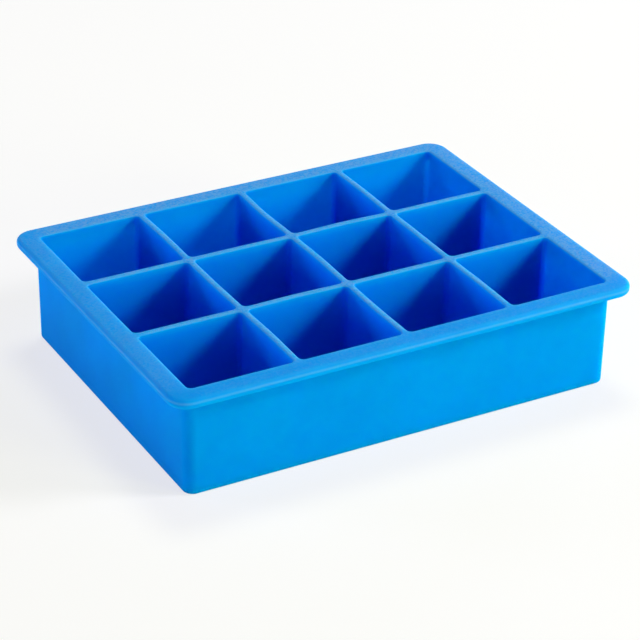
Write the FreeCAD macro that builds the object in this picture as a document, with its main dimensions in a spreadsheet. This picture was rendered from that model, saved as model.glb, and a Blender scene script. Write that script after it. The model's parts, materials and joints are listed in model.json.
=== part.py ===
import FreeCAD, Part
import math
import os
import Sketcher

# A silicone tray for large ice cubes. It is one moulding: a drafted block of walls and dividers with a
# flat rim round its top, and a grid of square cells sunk into it. Every level is measured down from the
# rim's top plane. X runs along the length, Y across the width, and the origin is the middle of the base.

NODE = "ice_cube_tray"

# Driving dimensions in millimetres, and drafts in degrees
SIZES = (
    ("cells_long", 4, "cells along the length"),
    ("cells_wide", 3, "cells across the width"),
    ("cell_opening", 45.1, "side of a cell at the top, before its lip is rounded"),
    ("cell_depth", 44.0, "from the rim's top down to a cell's floor"),
    ("cell_draft", 1.75, "slope of the cell walls"),
    ("cell_corner", 2.0, "radius of a cell's upright corners"),
    ("cell_floor_round", 1.2, "radius where a cell's walls meet its floor"),
    ("lip_round", 0.9, "radius over the edge of each cell opening"),
    ("divider_thickness", 2.9, "divider between two openings at the top"),
    ("wall_thickness", 2.0, "outer wall beside an opening at the top"),
    ("wall_draft", 0.3, "slope of the outer walls"),
    ("wall_corner", 4.3, "radius of the outer walls' upright corners at their foot"),
    ("floor_thickness", 2.8, "from a cell's floor down to the base"),
    ("rim_end_overhang", 7.5, "how far the rim stands out from the two end walls"),
    ("rim_side_overhang", 6.7, "how far the rim stands out from the two side walls"),
    ("rim_thickness", 4.4, "rim, from its top down to its underside"),
    ("rim_corner", 8.5, "radius of the rim's corners in plan"),
    ("rim_edge_round", 1.8, "radius over the rim's outer edges, above and below"),
    ("rim_root_round", 1.0, "radius where the rim's underside meets the walls"),
    ("base_edge_round", 1.1, "radius round the foot of the walls"),
)

# Lengths that follow from the sheet, as expressions
HEIGHT = "(tray.cell_depth + tray.floor_thickness)"
PITCH = "(tray.cell_opening + tray.divider_thickness)"
CELLS_X = "round(tray.cells_long)"
CELLS_Y = "round(tray.cells_wide)"
SPAN_X = f"(({CELLS_X} - 1) * {PITCH})"
SPAN_Y = f"(({CELLS_Y} - 1) * {PITCH})"
WALLS_X = f"(({SPAN_X} + tray.cell_opening) / 2 + tray.wall_thickness)"
WALLS_Y = f"(({SPAN_Y} + tray.cell_opening) / 2 + tray.wall_thickness)"

# Rounds, each limited by the material that it is cut from
RIM_EDGE_RADIUS = "min(tray.rim_edge_round; 0.49 * tray.rim_thickness)"
LIP_RADIUS = "min(tray.lip_round; 0.49 * tray.divider_thickness)"
FLOOR_RADIUS = "min(tray.cell_floor_round; 0.9 * tray.cell_corner)"

# A cell's lip and floor are rounded by flat bands, because so many smooth ones make a heavy model.
# These are the angles between them, in degrees.
LIP_ANGLES = (0, 30, 60, 90)
FLOOR_ANGLES = (0, 45, 90)

# A sketch's names for its own origin and for the points of a line or an arc
START, END, CENTRE = range(1, 4)
ORIGIN = (-1, START)

LEVEL_SLACK = 0.001


def make_sheet(doc):
    """Writes one row a size: what it is, then its value under its alias."""
    sheet = doc.addObject("Spreadsheet::Sheet", "tray")
    for row, (alias, value, meaning) in enumerate(SIZES, start=1):
        sheet.set(f"A{row}", meaning)
        sheet.set(f"B{row}", str(value))
        sheet.setAlias(f"B{row}", alias)
    doc.recompute()
    return sheet


def origin_feature(body, role):
    """The body's own origin plane or axis of that role."""
    return next(item for item in body.Origin.OriginFeatures if item.Role == role)


def bind(feature, **expressions):
    """Ties each named property of the feature to its expression."""
    for name, expression in expressions.items():
        feature.setExpression(name, expression)


def rounded_rectangle(body, name, depth, half_x, half_y, corner, middle=("0", "0")):
    """A sketch at that depth below the rim's top: a rectangle with four equal round corners.

    The sizes are expressions. The outline is drawn at their present values and then bound to them.
    """
    sketch = body.newObject("Sketcher::SketchObject", name)
    sketch.AttachmentSupport = [(origin_feature(body, "XY_Plane"), "")]
    sketch.MapMode = "FlatFace"
    for axis, place in zip("xyz", (*middle, f"{HEIGHT} - {depth}")):
        sketch.setExpression(f".AttachmentOffset.Base.{axis}", place)
    reach_x, reach_y, radius = (float(sketch.evalExpression(size)) for size in (half_x, half_y, corner))

    # Corners, anticlockwise from front right, each a quarter turn about its own centre
    arcs = []
    for quarter, (side_x, side_y) in enumerate(((1, -1), (1, 1), (-1, 1), (-1, -1)), start=-1):
        centre = FreeCAD.Vector(side_x * (reach_x - radius), side_y * (reach_y - radius), 0)
        circle = Part.Circle(centre, FreeCAD.Vector(0, 0, 1), radius)
        turn = [(quarter + step) * math.pi / 2 for step in (0, 1)]
        arcs.append(sketch.addGeometry(Part.ArcOfCircle(circle, *turn), False))

    # Sides, each from the end of one arc to the start of the next: right, back, left, front
    sides = []
    for arc, following in zip(arcs, arcs[1:] + arcs[:1]):
        ends = sketch.getPoint(arc, END), sketch.getPoint(following, START)
        side = sketch.addGeometry(Part.LineSegment(*ends), False)
        sketch.addConstraint(Sketcher.Constraint("Tangent", arc, END, side, START))
        sketch.addConstraint(Sketcher.Constraint("Tangent", side, END, following, START))
        sides.append(side)
    right, back, left, front = sides
    for side in (right, left):
        sketch.addConstraint(Sketcher.Constraint("Vertical", side))
    for side in (back, front):
        sketch.addConstraint(Sketcher.Constraint("Horizontal", side))
    for arc in arcs[1:]:
        sketch.addConstraint(Sketcher.Constraint("Equal", arcs[0], arc))
    sketch.addConstraint(Sketcher.Constraint("Symmetric", arcs[1], CENTRE, arcs[3], CENTRE, *ORIGIN))

    for label, constraint, expression in (
        ("half_x", Sketcher.Constraint("DistanceX", *ORIGIN, right, START, reach_x), half_x),
        ("half_y", Sketcher.Constraint("DistanceY", *ORIGIN, back, START, reach_y), half_y),
        ("corner", Sketcher.Constraint("Radius", arcs[0], radius), corner),
    ):
        sketch.renameConstraint(sketch.addConstraint(constraint), label)
        sketch.setExpression(f"Constraints.{label}", expression)
    sketch.Visibility = False
    return sketch


def loft_down(body, kind, name, halves, sections, middle=("0", "0")):
    """A loft through plans one below the other.

    Each section gives its depth below the rim's top, how far its outline stands out from the half sizes,
    and its corner radius.
    """
    plans = []
    for depth, outset, corner in sections:
        half_x, half_y = (f"{half} + {outset}" for half in halves)
        plans.append(rounded_rectangle(body, f"{name}_plan", depth, half_x, half_y, corner, middle))
    loft = body.newObject(kind, name)
    loft.Profile = plans[0]
    loft.Sections = plans[1:]
    loft.Ruled = True
    return loft


def wall_sections():
    """The outer walls, from the rim's top down to the base, leaning in by their draft."""
    narrowing = f"{HEIGHT} * tan(tray.wall_draft * 1 deg)"
    return [("0", "0", f"tray.wall_corner + {narrowing}"), (HEIGHT, f"-{narrowing}", "tray.wall_corner")]


def cell_sections():
    """One cell: round the lip, down the drafted wall, round the foot of the wall and on to the floor."""
    sections = []
    for angle in LIP_ANGLES:
        depth = f"{LIP_RADIUS} * (1 - cos({angle} deg))"
        outset = f"{LIP_RADIUS} * (1 - sin({angle} deg))"
        sections.append((depth, outset, f"tray.cell_corner + {outset}"))
    narrowing = f"(tray.cell_depth - {FLOOR_RADIUS}) * tan(tray.cell_draft * 1 deg)"
    for angle in FLOOR_ANGLES:
        depth = f"(tray.cell_depth - {FLOOR_RADIUS} * (1 - sin({angle} deg)))"
        inset = f"{FLOOR_RADIUS} * (1 - cos({angle} deg))"
        sections.append((depth, f"(-{narrowing} - {inset})", f"tray.cell_corner - {inset}"))
    return sections


def level_edges(feature, level, reach, within):
    """Names of the feature's edges that lie flat at that level, within a centred rectangle or beyond it."""
    reach_x, reach_y = reach
    names = []
    for number, edge in enumerate(feature.Shape.Edges, start=1):
        box = edge.BoundBox
        is_level = max(abs(box.ZMin - level), abs(box.ZMax - level)) < LEVEL_SLACK
        is_within = max(-box.XMin, box.XMax) < reach_x and max(-box.YMin, box.YMax) < reach_y
        if is_level and is_within == within:
            names.append(f"Edge{number}")
    return names


def round_edges(body, name, base, edges, radius):
    """A fillet on the named edges of the feature before it."""
    fillet = body.newObject("PartDesign::Fillet", name)
    fillet.Base = (base, edges)
    bind(fillet, Radius=radius)
    body.Document.recompute()
    return fillet


def make_block(body, height, rim_underside, reach):
    """The walls and the rim as one block that isn't hollow yet, with its outer edges rounded."""
    # Walls and dividers as one mass, narrower at the foot so that it leaves its mould
    loft_down(body, "PartDesign::AdditiveLoft", "walls", (WALLS_X, WALLS_Y), wall_sections())

    # Flat rim round the top
    rim_x = f"{WALLS_X} + tray.rim_end_overhang"
    rim_y = f"{WALLS_Y} + tray.rim_side_overhang"
    rim = body.newObject("PartDesign::Pad", "rim")
    rim.Profile = rounded_rectangle(body, "rim_top", "0", rim_x, rim_y, "tray.rim_corner")
    rim.Reversed = True
    bind(rim, Length="tray.rim_thickness")
    body.Document.recompute()

    # Rounds over the rim's edge, under its root and round the foot
    upper = level_edges(rim, height, reach, False)
    lower = level_edges(rim, rim_underside, reach, False)
    rim_edge = round_edges(body, "rim_edge", rim, upper + lower, RIM_EDGE_RADIUS)
    root = level_edges(rim_edge, rim_underside, reach, True)
    rim_root = round_edges(body, "rim_root", rim_edge, root, "tray.rim_root_round")
    foot = level_edges(rim_root, 0, reach, True)
    return round_edges(body, "foot_edge", rim_root, foot, "tray.base_edge_round")


def sink_cells(body, block, sheet):
    """Pockets a grid of drafted cells into the block. Each must take out as much as the first."""
    half = "tray.cell_opening / 2"
    front_left = f"-{SPAN_X} / 2", f"-{SPAN_Y} / 2"
    cell = loft_down(body, "PartDesign::SubtractiveLoft", "cell", (half, half), cell_sections(), front_left)
    body.Document.recompute()

    cells = body.newObject("PartDesign::LinearPattern", "cells")
    cells.Originals = [cell]
    cells.Direction = (origin_feature(body, "X_Axis"), [""])
    cells.Direction2 = (origin_feature(body, "Y_Axis"), [""])
    bind(cells, Length=SPAN_X, Length2=SPAN_Y, Occurrences=CELLS_X, Occurrences2=CELLS_Y)
    body.Tip = cells
    body.Document.recompute()

    one_cell = block.Shape.Volume - cell.Shape.Volume
    all_cells = block.Shape.Volume - cells.Shape.Volume
    expected = round(sheet.cells_long) * round(sheet.cells_wide) * one_cell
    if one_cell <= 0 or abs(all_cells - expected) > one_cell / 100:
        raise ValueError(f"the cells took out {all_cells} and not {expected}")


def make_tray(doc, sheet):
    """Builds the moulding: a block with its rim, then the cells sunk into it."""
    body = doc.addObject("PartDesign::Body", NODE)
    body.Label = NODE

    # Levels, and the plan of the walls, which tell one ring of edges from the next
    height = sheet.cell_depth + sheet.floor_thickness
    pitch = sheet.cell_opening + sheet.divider_thickness
    reach = [
        ((round(count) - 1) * pitch + sheet.cell_opening) / 2 + sheet.wall_thickness
        for count in (sheet.cells_long, sheet.cells_wide)
    ]

    block = make_block(body, height, height - sheet.rim_thickness, reach)
    sink_cells(body, block, sheet)
    body.Placement = FreeCAD.Placement()
    return body


def check_and_export(doc, bodies):
    """Stops if any feature failed, then writes each body to its own file."""
    for item in doc.Objects:
        if {"Invalid", "Error"} & set(item.State):
            raise ValueError(f"{item.Label} failed: {item.State}")
    os.makedirs("parts", exist_ok=True)
    for body in bodies:
        if body.Shape.isNull() or not body.Shape.isValid() or len(body.Shape.Solids) != 1:
            raise ValueError(f"{body.Label} isn't one sound solid")
        body.Shape.exportStep(f"parts/{body.Label}.step")
        print(f"{body.Label}: {body.Shape.Volume / 1000:.1f} cm3, {len(body.Shape.Faces)} faces")


document = FreeCAD.newDocument("ice_cube_tray_model")
sizes = make_sheet(document)
tray = make_tray(document, sizes)
document.recompute()
check_and_export(document, [tray])
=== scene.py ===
import json
import math

import bmesh
import bpy
from mathutils import Matrix, Vector


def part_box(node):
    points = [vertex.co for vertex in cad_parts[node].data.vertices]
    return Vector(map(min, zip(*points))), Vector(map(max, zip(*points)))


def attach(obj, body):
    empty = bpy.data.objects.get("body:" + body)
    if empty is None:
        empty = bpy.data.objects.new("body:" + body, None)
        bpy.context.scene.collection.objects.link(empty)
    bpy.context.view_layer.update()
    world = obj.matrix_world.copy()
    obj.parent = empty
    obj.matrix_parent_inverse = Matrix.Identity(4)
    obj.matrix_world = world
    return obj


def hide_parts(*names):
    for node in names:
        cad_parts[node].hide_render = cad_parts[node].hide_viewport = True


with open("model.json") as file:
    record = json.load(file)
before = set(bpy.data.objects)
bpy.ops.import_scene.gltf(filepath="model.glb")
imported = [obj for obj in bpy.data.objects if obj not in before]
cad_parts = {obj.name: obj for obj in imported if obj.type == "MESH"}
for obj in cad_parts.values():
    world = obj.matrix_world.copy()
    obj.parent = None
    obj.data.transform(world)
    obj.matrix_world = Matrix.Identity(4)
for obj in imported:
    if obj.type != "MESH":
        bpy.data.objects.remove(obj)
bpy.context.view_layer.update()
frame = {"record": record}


# The tray
# One moulding of soft blue silicone: twelve square cells under a flat rim. The mould leaves every edge
# round, and the thin dividers have relaxed a little out of line since it came out of the mould.
mm = 0.001

cell_opening = 45.1 * mm
cell_depth = 44.0 * mm
cell_draft = math.radians(1.75)
cell_corner = 2.0 * mm
cell_floor_round = 1.2 * mm
lip_round = 0.9 * mm
wall_thickness = 2.0 * mm
wall_draft = math.radians(0.3)
wall_corner = 4.5 * mm
rim_thickness = 4.4 * mm
rim_corner = 8.5 * mm
rim_edge_round = 1.8 * mm
rim_root_round = 1.0 * mm
base_edge_round = 1.1 * mm

tray_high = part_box("ice_cube_tray")[1]
tray_height = tray_high.z
cell_boxes = [opening["box_m"] for opening in frame["record"]["physics"]["openings"]]
column_middles, row_middles = (
    sorted({round((low[axis] + high[axis]) / 2, 5) for low, high in cell_boxes}) for axis in (0, 1)
)
walls_x = column_middles[-1] + cell_opening / 2 + wall_thickness
walls_y = row_middles[-1] + cell_opening / 2 + wall_thickness

side_steps = 16
corner_steps = 8


def side_stations(half, radius):
    """Points along the straight of a cell's side, measured from its middle."""
    straight = half - radius
    return [straight * (2 * step / side_steps - 1) for step in range(side_steps + 1)]


def outline(half_x, half_y, radius, stations_x, stations_y, middle=(0.0, 0.0)):
    """Points anticlockwise round a rectangle with round corners: each side's stations, then a corner."""
    points = []
    sides = (
        [(half_x, y) for y in stations_y],
        [(x, half_y) for x in reversed(stations_x)],
        [(-half_x, y) for y in reversed(stations_y)],
        [(x, -half_y) for x in stations_x],
    )
    for quarter, side in enumerate(sides):
        points += side
        sign_x, sign_y = ((1, 1), (-1, 1), (-1, -1), (1, -1))[quarter]
        for step in range(corner_steps + 1):
            angle = math.pi / 2 * (quarter + step / corner_steps)
            points.append((
                sign_x * (half_x - radius) + radius * math.cos(angle),
                sign_y * (half_y - radius) + radius * math.sin(angle),
            ))
    return [(x + middle[0], y + middle[1]) for x, y in points]


def quarter_turn(steps):
    """The angles of a quarter turn in this many steps, without the first one."""
    return [math.radians(90 * step / steps) for step in range(1, steps + 1)]


def cell_profile():
    """A cell's rings, from its lip to its floor: how far in from the opening, how deep, and corner radius."""
    rings = []

    def ring(inset, depth, corner):
        rings.append((inset, depth, corner))

    flat_edge = 0.25 * mm
    lip_steps, wall_steps, floor_steps = 6, 14, 5
    ring(-lip_round - flat_edge, 0.0, cell_corner + lip_round + flat_edge)
    for angle in [0, *quarter_turn(lip_steps)]:
        outset = lip_round * (1 - math.sin(angle))
        ring(-outset, lip_round * (1 - math.cos(angle)), cell_corner + outset)
    wall_end = cell_depth - cell_floor_round
    narrowing = wall_end * math.tan(cell_draft)
    for step in range(1, wall_steps + 1):
        share = step / wall_steps
        ring(narrowing * share, lip_round + (wall_end - lip_round) * share, cell_corner)
    for angle in quarter_turn(floor_steps):
        inset = cell_floor_round * (1 - math.cos(angle))
        ring(narrowing + inset, wall_end + cell_floor_round * math.sin(angle), cell_corner - inset)
    ring(rings[-1][0] + flat_edge, cell_depth, rings[-1][2] - flat_edge)
    return rings


def block_profile():
    """Outer rings from the rim's flat top down to the base: half length, half width, corner radius, height."""
    rim_x, rim_y = tray_high.x, tray_high.y
    flat_edge = 0.3 * mm
    edge_steps, root_steps, wall_steps, foot_steps = 8, 5, 16, 6
    rings = []

    def rim_ring(inset, height):
        rings.append((rim_x - inset, rim_y - inset, rim_corner - inset, height))

    def wall_ring(outset, height):
        lean = (tray_height - height) * math.tan(wall_draft)
        rings.append((walls_x - lean + outset, walls_y - lean + outset, wall_corner + outset, height))

    rim_ring(rim_edge_round + flat_edge, tray_height)
    rim_ring(rim_edge_round, tray_height)
    for angle in quarter_turn(edge_steps):
        rim_ring(rim_edge_round * (1 - math.sin(angle)), tray_height - rim_edge_round * (1 - math.cos(angle)))
    underside = tray_height - rim_thickness
    for angle in [0, *quarter_turn(edge_steps)]:
        rim_ring(rim_edge_round * (1 - math.cos(angle)), underside + rim_edge_round * (1 - math.sin(angle)))
    rim_ring(rim_edge_round + flat_edge, underside)
    wall_ring(rim_root_round + flat_edge, underside)
    for angle in [0, *quarter_turn(root_steps)]:
        wall_ring(rim_root_round * (1 - math.sin(angle)), underside - rim_root_round * (1 - math.cos(angle)))
    wall_top = underside - rim_root_round
    for step in range(1, wall_steps + 1):
        wall_ring(0, wall_top + (base_edge_round - wall_top) * step / wall_steps)
    for angle in quarter_turn(foot_steps):
        wall_ring(-base_edge_round * (1 - math.cos(angle)), base_edge_round * (1 - math.sin(angle)))
    wall_ring(-base_edge_round - flat_edge, 0)
    return rings


def loft(mesh, rings):
    """Joins rings of points with faces and returns the rings as vertices."""
    lofted = [[mesh.verts.new(point) for point in ring] for ring in rings]
    for upper, lower in zip(lofted, lofted[1:]):
        count = len(upper)
        for here in range(count):
            there = (here + 1) % count
            mesh.faces.new((upper[here], lower[here], lower[there], upper[there]))
    return lofted


def sides_and_corners(ring, side_lengths):
    """Splits a ring of outline() back into its four sides and the four corners that follow them."""
    sides, corners, start = [], [], 0
    for length in side_lengths:
        sides.append(ring[start:start + length])
        corners.append(ring[start + length:start + length + corner_steps + 1])
        start += length + corner_steps + 1
    return sides, corners


def cover_top(mesh, block, cells):
    """Closes the flat top between the rim and the cells: strips along the sides, plates where they meet."""
    columns, rows = len(column_middles), len(row_middles)
    per_cell = side_steps + 1
    block_sides, block_corners = sides_and_corners(block, [length * per_cell for length in (rows, columns) * 2])
    split = {place: sides_and_corners(ring, [per_cell] * 4) for place, ring in cells.items()}

    def strip(first, second):
        for here in range(side_steps):
            mesh.faces.new((first[here], first[here + 1], second[here + 1], second[here]))

    def plate(*runs):
        mesh.faces.new([vertex for run in runs for vertex in run])

    for (column, row), (sides, corners) in split.items():
        right, behind, across = ((column + 1, row), (column, row + 1), (column + 1, row + 1))
        if right in split:
            strip(sides[0], split[right][0][2][::-1])
        if behind in split:
            strip(sides[1], split[behind][0][3][::-1])
        if across in split:
            plate(corners[0][::-1], split[right][1][1][::-1], split[across][1][2][::-1], split[behind][1][3][::-1])

    outer = (
        [(columns - 1, row) for row in range(rows)],
        [(column, rows - 1) for column in reversed(range(columns))],
        [(0, row) for row in reversed(range(rows))],
        [(column, 0) for column in range(columns)],
    )
    for quarter, places in enumerate(outer):
        rim = block_sides[quarter]
        for step, place in enumerate(places):
            sides, corners = split[place]
            strip(rim[step * per_cell:(step + 1) * per_cell], sides[quarter])
            if step + 1 < len(places):
                seam = rim[(step + 1) * per_cell - 1:(step + 1) * per_cell + 1]
                plate(seam, split[places[step + 1]][1][quarter - 1][::-1], corners[quarter][::-1])
        next_side = block_sides[(quarter + 1) % 4]
        plate(rim[-1:], block_corners[quarter], next_side[:1], split[places[-1]][1][quarter][::-1])


def mould_tray():
    """The moulding as one closed mesh, straight as it was designed."""
    mesh = bmesh.new()
    per_cell = side_stations(cell_opening / 2, wall_corner)
    stations_x = [middle + station for middle in column_middles for station in per_cell]
    stations_y = [middle + station for middle in row_middles for station in per_cell]

    block = loft(mesh, [
        [(x, y, height) for x, y in outline(half_x, half_y, radius, stations_x, stations_y)]
        for half_x, half_y, radius, height in block_profile()
    ])
    mesh.faces.new(reversed(block[-1]))

    cells = {}
    for row, middle_y in enumerate(row_middles):
        for column, middle_x in enumerate(column_middles):
            rings = []
            for inset, depth, corner in cell_profile():
                half = cell_opening / 2 - inset
                stations = side_stations(half, corner)
                plan = outline(half, half, corner, stations, stations, (middle_x, middle_y))
                rings.append([(x, y, tray_height - depth) for x, y in plan])
            cell = loft(mesh, rings)
            mesh.faces.new(cell[-1])
            cells[column, row] = cell[0]

    cover_top(mesh, block[0], cells)
    same_point = 0.001 * mm
    bmesh.ops.remove_doubles(mesh, verts=mesh.verts, dist=same_point)
    bmesh.ops.recalc_face_normals(mesh, faces=mesh.faces)
    data = bpy.data.meshes.new("ice_cube_tray_silicone")
    mesh.to_mesh(data)
    mesh.free()
    return data


# How far the middle of each divider has bowed, row by row from the front, in millimetres
cross_divider_bows = ((0.4, -0.3, 0.3), (-0.2, 0.4, 0.1), (0.3, -0.75, 0.25))
long_divider_bows = ((0.1, 0.45, 0.0, -0.1), (0.0, 0.1, 0.6, 0.1))
bow_rise = 1.5  # the foot of a divider stays in line, and its lip bows most


def hump(distance, half_width):
    """1 at no distance, falling smoothly to 0 at the half width."""
    share = min(abs(distance) / half_width, 1.0)
    return (1 + math.cos(math.pi * share)) / 2


def relax(point):
    """Moves a point of the straight moulding to where the soft dividers have come to rest."""
    pitch = column_middles[1] - column_middles[0]
    up = max(point.z - (tray_height - cell_depth), 0) / cell_depth
    slack = up ** bow_rise
    shift = Vector((0, 0, 0))
    for row_y, bows in zip(row_middles, cross_divider_bows):
        for left_x, bow in zip(column_middles, bows):
            near = hump(point.x - left_x - pitch / 2, pitch / 2) * hump(point.y - row_y, pitch / 2)
            shift.x += bow * mm * slack * near
    for front_y, bows in zip(row_middles, long_divider_bows):
        for column_x, bow in zip(column_middles, bows):
            near = hump(point.y - front_y - pitch / 2, pitch / 2) * hump(point.x - column_x, pitch / 2)
            shift.y += bow * mm * slack * near
    return point + shift


silicone_data = mould_tray()
for vertex in silicone_data.vertices:
    vertex.co = relax(vertex.co)
for face in silicone_data.polygons:
    face.use_smooth = True
tray = bpy.data.objects.new("ice_cube_tray_silicone", silicone_data)
bpy.context.scene.collection.objects.link(tray)
flats = tray.modifiers.new("flats stay flat", "WEIGHTED_NORMAL")
flats.weight = 50


def silicone():
    """Dyed silicone: light glows through the thin walls, the faces that lie upwards have a dry bloom with painted
    sheen, the cells have painted shade, and the rim's edge a painted highlight.
    """
    # The third of these is a deeper blue painted as the shade inside the cells
    full_dye, thin_dye, cell_shade_colour = (0.0, 0.262, 0.77), (0.0, 0.278, 0.81), (0.0, 0.222, 0.80)
    # Dust bloom with painted sheen, then a painted highlight line
    bloom_and_sheen_colour, rim_highlight_colour = (0.11, 0.335, 0.75), (0.06, 0.32, 0.76)
    glow_reach, glow_by_colour = 10.0 * mm, (0.01, 0.9, 1.0)
    clouds_per_metre, specks_per_metre, grains_per_metre = 50, 1100, 2500

    material = bpy.data.materials.new("dyed_silicone")
    material.use_nodes = True
    nodes, links = material.node_tree.nodes, material.node_tree.links
    surface = nodes["Principled BSDF"]
    surface.inputs["IOR"].default_value = 1.41
    surface.inputs["Specular IOR Level"].default_value = 0.01
    surface.inputs["Subsurface Radius"].default_value = glow_by_colour
    surface.inputs["Subsurface Scale"].default_value = glow_reach
    place = nodes.new("ShaderNodeTexCoord")

    def noise(scale, detail):
        texture = nodes.new("ShaderNodeTexNoise")
        texture.inputs["Scale"].default_value = scale
        texture.inputs["Detail"].default_value = detail
        links.new(place.outputs["Object"], texture.inputs["Vector"])
        return texture.outputs["Fac"]

    def spread(source, low, high, least, most):
        """Runs from least to most while the source runs from low to high."""
        ramp = nodes.new("ShaderNodeMapRange")
        for name, value in (("From Min", low), ("From Max", high), ("To Min", least), ("To Max", most)):
            ramp.inputs[name].default_value = value
        links.new(source, ramp.inputs["Value"])
        return ramp.outputs["Result"]

    def blend(share, first, second):
        mix = nodes.new("ShaderNodeMix")
        mix.data_type = "RGBA"
        links.new(share, mix.inputs[0])
        for socket, colour in ((mix.inputs[6], first), (mix.inputs[7], second)):
            if isinstance(colour, tuple):
                socket.default_value = (*colour, 1)
            else:
                links.new(colour, socket)
        return mix.outputs[2]

    def times(first, second):
        product = nodes.new("ShaderNodeMath")
        product.operation = "MULTIPLY"
        links.new(first, product.inputs[0])
        links.new(second, product.inputs[1])
        return product.outputs["Value"]

    def parted(vector):
        parts = nodes.new("ShaderNodeSeparateXYZ")
        links.new(vector, parts.inputs["Vector"])
        return [parts.outputs[axis] for axis in ("X", "Y", "Z")]

    def inside_of(half_length, half_width, soft):
        """1 within these distances of the tray's middle, and 0 a soft edge further out."""
        sides = ((along, half_length), (aside, half_width))
        return times(*(spread(times(way, way), half ** 2, (half + soft) ** 2, 1, 0) for way, half in sides))

    along, aside, height = parted(place.outputs["Object"])
    facing_up = parted(place.outputs["Normal"])[2]

    # Dye that isn't stirred in quite evenly, in clouds about 20 mm across
    dyed = blend(spread(noise(clouds_per_metre, 2), 0.35, 0.65, 0, 1), full_dye, thin_dye)

    # Painted shade inside the cells: below the rim, the dividers and the cells' walls and floors take a deeper
    # blue than the outer walls
    divider_part = inside_of(92.3 * mm, 68.3 * mm, 0.8 * mm)
    painted_cell_shade = times(divider_part, spread(height, 43.0 * mm, 45.5 * mm, 1, 0))

    # Dry bloom in specks of a millimetre and less on whatever lies upwards, together with painted sheen: a pale
    # painted reflection on the upward faces, painted weaker down in the cells and along the front and left
    upward = times(spread(facing_up, 0.4, 0.75, 0, 1), spread(height, 30.0 * mm, 44.0 * mm, 0.1, 1))
    front = spread(aside, -73.0 * mm, -65.0 * mm, 0.2, 1)
    left = spread(along, -97.0 * mm, -89.0 * mm, 0.4, 1)
    flat = spread(facing_up, 0.9, 0.99, 0.15, 1)
    specks = times(spread(noise(specks_per_metre, 5), 0.3, 0.7, -0.6, 0.6), flat)
    cover = spread(specks, -1, 1, -0.4, 1.6)
    bloom_and_sheen = times(times(upward, cover), times(front, left))
    # Painted shade in the cells, then the bloom with its painted sheen over it
    bloom_sheen_and_shade = blend(bloom_and_sheen, blend(painted_cell_shade, dyed, cell_shade_colour), bloom_and_sheen_colour)

    # A painted highlight: a fine pale line round the rim's edge, a little below the top of it
    highlight_height, highlight_fade = 45.2 * mm, 0.8 * mm
    highlight_line = times(
        spread(height, highlight_height - highlight_fade, highlight_height, 0, 1),
        spread(height, highlight_height, highlight_height + highlight_fade, 1, 0),
    )
    rim_edge = spread(inside_of(98.0 * mm, 74.0 * mm, 2.5 * mm), 0, 1, 1, 0)
    # The painted highlight line goes round the rim's edge only
    colour = blend(times(highlight_line, rim_edge), bloom_sheen_and_shade, rim_highlight_colour)
    links.new(colour, surface.inputs["Base Color"])

    # The bloom with its painted sheen lets less light in and is a little rougher
    links.new(spread(bloom_and_sheen, 0, 1, 1, 0.2), surface.inputs["Subsurface Weight"])
    links.new(spread(bloom_and_sheen, 0, 1, 0.45, 0.6), surface.inputs["Roughness"])

    grain = nodes.new("ShaderNodeBump")
    grain.inputs["Strength"].default_value = 0.1
    grain.inputs["Distance"].default_value = 0.1 * mm
    links.new(noise(grains_per_metre, 3), grain.inputs["Height"])
    links.new(grain.outputs["Normal"], surface.inputs["Normal"])
    return material


tray.data.materials.append(silicone())
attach(tray, "root")
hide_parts("ice_cube_tray")


# The floor
# A sheet of matt white paper under the tray, far wider than the view. It is lit as paper is, but most of
# what the camera or a shiny face sees of it is plain white, so the shadow on it stays faint.
floor_half = 3.0
under_base = 0.1 * mm
floor_mesh = bmesh.new()
corners = [(x * floor_half, y * floor_half, -under_base) for x, y in ((-1, -1), (1, -1), (1, 1), (-1, 1))]
floor_mesh.faces.new([floor_mesh.verts.new(corner) for corner in corners])
floor_data = bpy.data.meshes.new("white_floor")
floor_mesh.to_mesh(floor_data)
floor_mesh.free()
floor = bpy.data.objects.new("white_floor", floor_data)
bpy.context.scene.collection.objects.link(floor)


def seen_directly(nodes, links):
    """1 where the camera, a reflection or a see-through piece looks, and 0 for light that bounces."""
    path = nodes.new("ShaderNodeLightPath")
    seen = path.outputs["Is Camera Ray"]
    for ray in ("Is Glossy Ray", "Is Transmission Ray"):
        either = nodes.new("ShaderNodeMath")
        either.operation = "MAXIMUM"
        links.new(seen, either.inputs[0])
        links.new(path.outputs[ray], either.inputs[1])
        seen = either.outputs["Value"]
    return seen


def white_paper():
    """Matt paper that the camera sees partly as it is lit and mostly as plain white."""
    paper_colour = (0.97, 0.97, 0.955)
    plain_share = 0.72

    material = bpy.data.materials.new("white_paper")
    material.use_nodes = True
    nodes, links = material.node_tree.nodes, material.node_tree.links
    nodes.clear()
    sheet = nodes.new("ShaderNodeBsdfDiffuse")
    sheet.inputs["Color"].default_value = (*paper_colour, 1)
    white = nodes.new("ShaderNodeEmission")
    white.inputs["Strength"].default_value = 1.0
    share = nodes.new("ShaderNodeMath")
    share.operation = "MULTIPLY"
    share.inputs[1].default_value = plain_share
    links.new(seen_directly(nodes, links), share.inputs[0])
    both = nodes.new("ShaderNodeMixShader")
    links.new(share.outputs["Value"], both.inputs[0])
    links.new(sheet.outputs["BSDF"], both.inputs[1])
    links.new(white.outputs["Emission"], both.inputs[2])
    output = nodes.new("ShaderNodeOutputMaterial")
    links.new(both.outputs["Shader"], output.inputs["Surface"])
    return material


floor_data.materials.append(white_paper())


# The light
# A high and a low window on the right in front, a soft box overhead, and bluish boards on the other sides.
# The room itself is dim, but looks white where a shiny face shows it.
lamp_distance = 2.0


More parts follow.
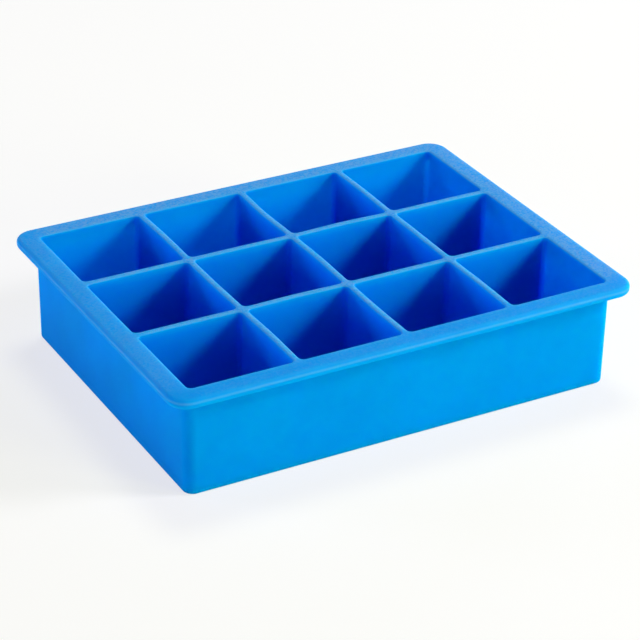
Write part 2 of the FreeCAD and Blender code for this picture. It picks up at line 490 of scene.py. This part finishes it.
def soft_box(name, azimuth, elevation, width, height, power, colour):
    """A lamp that faces the tray. The azimuth runs from +X to +Y and the elevation up from the floor."""
    lamp = bpy.data.lights.new(name, "AREA")
    lamp.shape = "RECTANGLE"
    lamp.size = width
    lamp.size_y = height
    lamp.energy = power
    lamp.color = colour
    turn, tilt = math.radians(azimuth), math.radians(elevation)
    away = Vector((math.cos(tilt) * math.cos(turn), math.cos(tilt) * math.sin(turn), math.sin(tilt)))
    holder = bpy.data.objects.new(name, lamp)
    holder.location = lamp_distance * away
    holder.rotation_euler = away.to_track_quat("Z", "Y").to_euler()
    bpy.context.scene.collection.objects.link(holder)


# Name, azimuth and elevation in degrees, width and height in metres, watts, colour
soft_box("window_high", -31, 33, 0.5, 0.5, 30.0, (0.93, 0.93, 1))
soft_box("window_low", -58, 14, 0.6, 0.6, 20.5, (1, 1, 0.5))
soft_box("overhead", 60, 70, 0.6, 0.6, 15.0, (1, 1, 0.68))
soft_box("board_right", 40, 10, 0.6, 0.6, 18.0, (0.45, 0.45, 1))
soft_box("board_behind", 140, 15, 0.6, 0.6, 14.4, (0.55, 0.55, 1))
soft_box("board_left", 195, 8, 0.6, 0.6, 9.0, (0.8, 0.8, 1))
soft_box("board_front", -125, 12, 0.6, 0.6, 3.0, (1, 1, 0.9))

room = bpy.data.worlds.new("white room")
bpy.context.scene.world = room
room.use_nodes = True
room_nodes, room_links = room.node_tree.nodes, room.node_tree.links
background = room_nodes["Background"]
background.inputs["Color"].default_value = (1, 1, 1, 1)
room_links.new(seen_directly(room_nodes, room_links), background.inputs["Strength"])


# The camera
# A long lens from the front left, above the tray, at the photograph's height and turn.
camera_place = Vector((-0.445128, -0.797382, 0.518122))
view_right = Vector((0.876787, -0.480630, 0.015468))
view_up = Vector((0.219030, 0.427787, 0.876940))
view_back = view_right.cross(view_up)
lens = bpy.data.cameras.new("camera")
lens.sensor_width = 36.0
lens.lens = 140.34
camera = bpy.data.objects.new("camera", lens)
turn = Matrix((view_right, view_up, view_back)).transposed()
camera.matrix_world = Matrix.Translation(camera_place) @ turn.to_4x4()
bpy.context.scene.collection.objects.link(camera)
bpy.context.scene.camera = camera
bpy.context.scene.view_settings.view_transform = "Standard"
